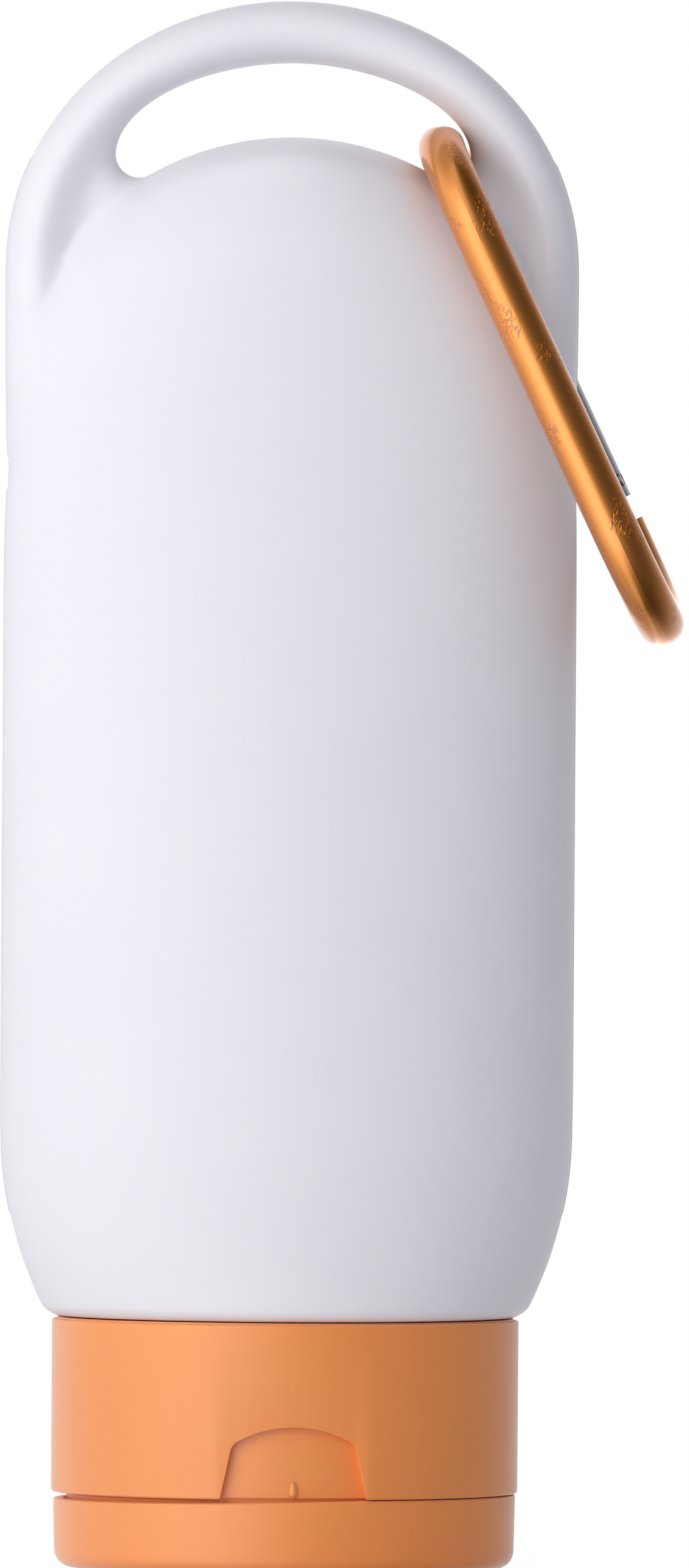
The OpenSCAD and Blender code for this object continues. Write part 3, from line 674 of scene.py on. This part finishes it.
def hinge_cutter(low, high):
    """A block behind the hinge's flat, with its edges rounded."""
    bpy.ops.object.select_all(action="DESELECT")
    bpy.ops.mesh.primitive_cube_add(size=1)
    block = bpy.context.object
    bpy.ops.object.mode_set(mode="EDIT")
    bpy.ops.transform.resize(value=((hinge_hi.x * 2 + hinge_wider) * mm, block_deep * mm,
                                    (high - low) * mm))
    bpy.ops.transform.translate(value=(0, (hinge_lo.y + block_deep / 2) * mm,
                                       (low + high) / 2 * mm))
    bpy.ops.mesh.bevel(offset=block_round * mm, segments=3, affect="EDGES")
    bpy.ops.object.mode_set(mode="OBJECT")
    return block


cut_with(base, hinge_cutter(parting - past_parting, hinge_hi.z + hinge_clear))
outward(base)
print("base:", len(base.data.polygons), "faces with its flat")

# %% Nub
nub_profile = [(0.08, 0.92), (0.2, 0.82), (0.31, 0.55), (0.4, 0.12), (0.42, -0.12),
               (0.36, -0.36), (0.22, -0.53), (0.06, -0.6)]
nub_out, nub_up = 0.06, 0.68
nub = stack("nub", rounds(nub_profile), 32)
edit(nub)
bpy.ops.mesh.select_all(action="SELECT")
bpy.ops.transform.translate(value=(0, (recess_depth + nub_out - cap_d) * mm,
                                   (parting + nub_up) * mm))
bpy.ops.object.mode_set(mode="OBJECT")
outward(nub)
only(base)
nub.select_set(True)
bpy.ops.object.join()

# %% [markdown]
# The recess meets the cap's face in an edge that a moulding tool leaves slightly round. Its
# edges are the sharp ones on the face, in front, above the parting line, and they get a bevel.

# %% Rim of the recess
rim_angle, rim_round = math.radians(35), 0.2
rim_half, rim_low, face_share = 7, parting + 0.05, 0.994
edit(base, "EDGE")
bpy.ops.mesh.edges_select_sharp(sharpness=rim_angle)
bpy.ops.object.mode_set(mode="OBJECT")
on_face = [math.hypot(p.x / cap_w, p.y / cap_d) > face_share and p.y < 0
           and p.z > rim_low and abs(p.x) < rim_half
           for p in (vertex.co / mm for vertex in base.data.vertices)]
for edge in base.data.edges:
    edge.select = edge.select and all(on_face[i] for i in edge.vertices)
print("recess rim:", sum(e.select for e in base.data.edges), "edges")
bpy.ops.object.mode_set(mode="EDIT")
bpy.ops.mesh.bevel(offset=rim_round * mm, segments=3, affect="EDGES", clamp_overlap=True)
bpy.ops.object.mode_set(mode="OBJECT")
outward(base)


# %% Base finished
def smooth_by_angle(piece, degrees):
    """Smooth shading, with edges sharper than the angle kept as edges."""
    only(piece)
    bpy.ops.object.shade_smooth_by_angle(angle=math.radians(degrees))


def settle(piece, material, body, node):
    """Gives a finished piece its material and its body, and hides the CAD node it stands for."""
    piece.data.materials.clear()
    piece.data.materials.append(material)
    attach(piece, body)
    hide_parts(node)
    print(f"{piece.name}: {len(piece.data.polygons)} faces, rides on {body}")


cap_edge_angle = 28
smooth_by_angle(base, cap_edge_angle)
settle(base, orange_plastic, "root", "cap_base")

# %% [markdown]
# ## The lid
# The lid is a shallow oval tray that stands upside down under the base, so its outer face is what
# the bottle stands on. Its lower edge is well rounded, its wall has a little draft, as every
# moulded wall needs to leave its tool, and a plug in its middle closes the orifice.

# %% Lid
lid_step, lid_draft, lid_round, plate = 0.3, 0.1, 1.5, 1.5
lid_rim, rim_wide = parting - 0.2, 0.9
plug, plug_tip = orifice - 0.08, 0.3
plug_top = (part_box("lid")[1] / mm).z
quarter = [math.radians(90 * i / 8) for i in range(9)]
foot_round = [(lid_step + lid_round * (1 - math.sin(a)), lid_round * (1 - math.cos(a)))
              for a in quarter]
tray_profile = rounded([(lid_step, lid_round), (lid_step - lid_draft, lid_rim),
                        (lid_step - lid_draft + rim_wide, lid_rim), (wall + 0.02, plate),
                        (wall + 3.0, plate)], 0.22)
plug_profile = rounded([(plug + 2.0, plate), (plug, plate), (plug, spout_top + 0.25),
                        (plug * 0.7, plug_top), (plug_tip, plug_top)], 0.4)
lid_piece = stack("lid_moulding", ovals(foot_round + tray_profile[1:]) + rounds(plug_profile),
                  columns)

# %% [markdown]
# On the real bottle the lid isn't pressed quite home at its left end, so the gap there is open
# by half a millimetre and closes towards the right. Only the rim's own loops are turned for it.

# %% Slanted rim
rim_zone, wall_share = 1.0, 0.8
rim_lift, rim_height = 0.13, parting - 0.07
slant_from, slant = 7.0, 0.0165
left_end, right_end = -18, 10


def on_rim(p):
    """True on the lid's rim and the upper ends of its wall."""
    return p.z > parting - rim_zone and math.hypot(p.x / cap_w, p.y / cap_d) > wall_share


edit(lid_piece)
pick(lid_piece, on_rim)
bpy.ops.transform.translate(value=(0, 0, rim_lift * mm))
pick(lid_piece, lambda p: on_rim(p) and p.x < slant_from)
bpy.ops.transform.rotate(value=slant, orient_axis="Y", orient_type="GLOBAL",
                         center_override=(slant_from * mm, 0, rim_height * mm))
bpy.ops.object.mode_set(mode="OBJECT")
rim = [v.co / mm for v in lid_piece.data.vertices if on_rim(v.co / mm)]
print("rim height at the left:", round(max(p.z for p in rim if p.x < left_end), 2),
      "at the right:", round(max(p.z for p in rim if p.x > right_end), 2))

# %% Lid finished
outward(lid_piece)
cut_with(lid_piece, hinge_cutter(hinge_lo.z - hinge_clear, parting + past_parting))
outward(lid_piece)
smooth_by_angle(lid_piece, cap_edge_angle)
settle(lid_piece, orange_plastic, "lid", "lid")

# %% [markdown]
# ## The living hinge
# Base, hinge and lid come out of the tool as one piece. The hinge is a thin strip of the same
# plastic with a shallow crease across its middle, where it bends, so its mesh needs many rows.

# %% Living hinge
hinge_rows = 28
hinge_round, bend_half = 0.08, 0.9
crease_deep, crease_half, outer_skin = 0.12, 0.1, 0.1
bpy.ops.object.select_all(action="DESELECT")
bpy.ops.mesh.primitive_cube_add(size=1)
hinge = bpy.context.object
hinge.name = hinge.data.name = "living_hinge"
bpy.ops.object.mode_set(mode="EDIT")
bpy.ops.transform.resize(value=tuple((hinge_hi - hinge_lo) * mm))
bpy.ops.transform.translate(value=tuple((hinge_hi + hinge_lo) / 2 * mm))
bpy.ops.mesh.bevel(offset=hinge_round * mm, segments=2, affect="EDGES")
row_high = (hinge_hi.z - hinge_lo.z) / hinge_rows
for row in range(1, hinge_rows):
    bpy.ops.mesh.select_all(action="SELECT")
    bpy.ops.mesh.bisect(plane_co=(0, 0, (hinge_lo.z + row * row_high) * mm), plane_no=(0, 0, 1))
pick(hinge, lambda p: abs(p.z - parting) < crease_half and p.y > hinge_hi.y - outer_skin)
bpy.ops.transform.translate(value=(0, -crease_deep * mm, 0))
bpy.ops.object.mode_set(mode="OBJECT")
outward(hinge)
smooth_by_angle(hinge, 40)
hinge.data.materials.clear()
hinge.data.materials.append(orange_plastic)
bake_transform(hinge)
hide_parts("hinge_web")
print("hinge:", len(hinge.data.polygons), "faces")

# %% [markdown]
# ## The pins of the gate
# Both cross pins are short lengths of wire, peened at their ends after they are pushed through,
# so each end is a low dome that covers the edge of its hole. One pin is modelled upright and is
# then turned onto the axis of the gate's hinge, which both pins share.

# %% Pins
pin_axis = Vector(joints["gate_hinge"]["axis"]).normalized()
head_wider = 0.1


def peened_pin(node, name):
    """A pin with two low domes in the place of a CAD pin, which it replaces."""
    points = [vertex.co / mm for vertex in nodes[node].data.vertices]
    middle = sum(points, Vector()) / len(points)
    along = [(p - middle).dot(pin_axis) for p in points]
    half = (max(along) - min(along)) / 2
    middle += pin_axis * (max(along) + min(along)) / 2
    radius = max(((p - middle) - pin_axis * (p - middle).dot(pin_axis)).length for p in points)
    head = [(0.3 * radius, half + 0.1), (0.75 * radius, half + 0.08),
            (radius + head_wider, half + 0.02), (radius + head_wider, half - 0.02),
            (radius, half - 0.03)]
    pin = stack(name, rounds(head + [(r, -h) for r, h in reversed(head)]), 32)
    pin.data.transform(Matrix.Translation(middle * mm)
                       @ pin_axis.to_track_quat("Z", "Y").to_matrix().to_4x4())
    outward(pin)
    smooth_by_angle(pin, 50)
    print(name, "is", round(2 * radius, 2), "mm thick and", round(2 * half, 2), "mm long")
    return pin


settle(peened_pin("pivot_rivet", "peened_rivet"), pin_steel, "gate", "pivot_rivet")
settle(peened_pin("latch_pin", "peened_latch_pin"), pin_steel, "gate", "latch_pin")
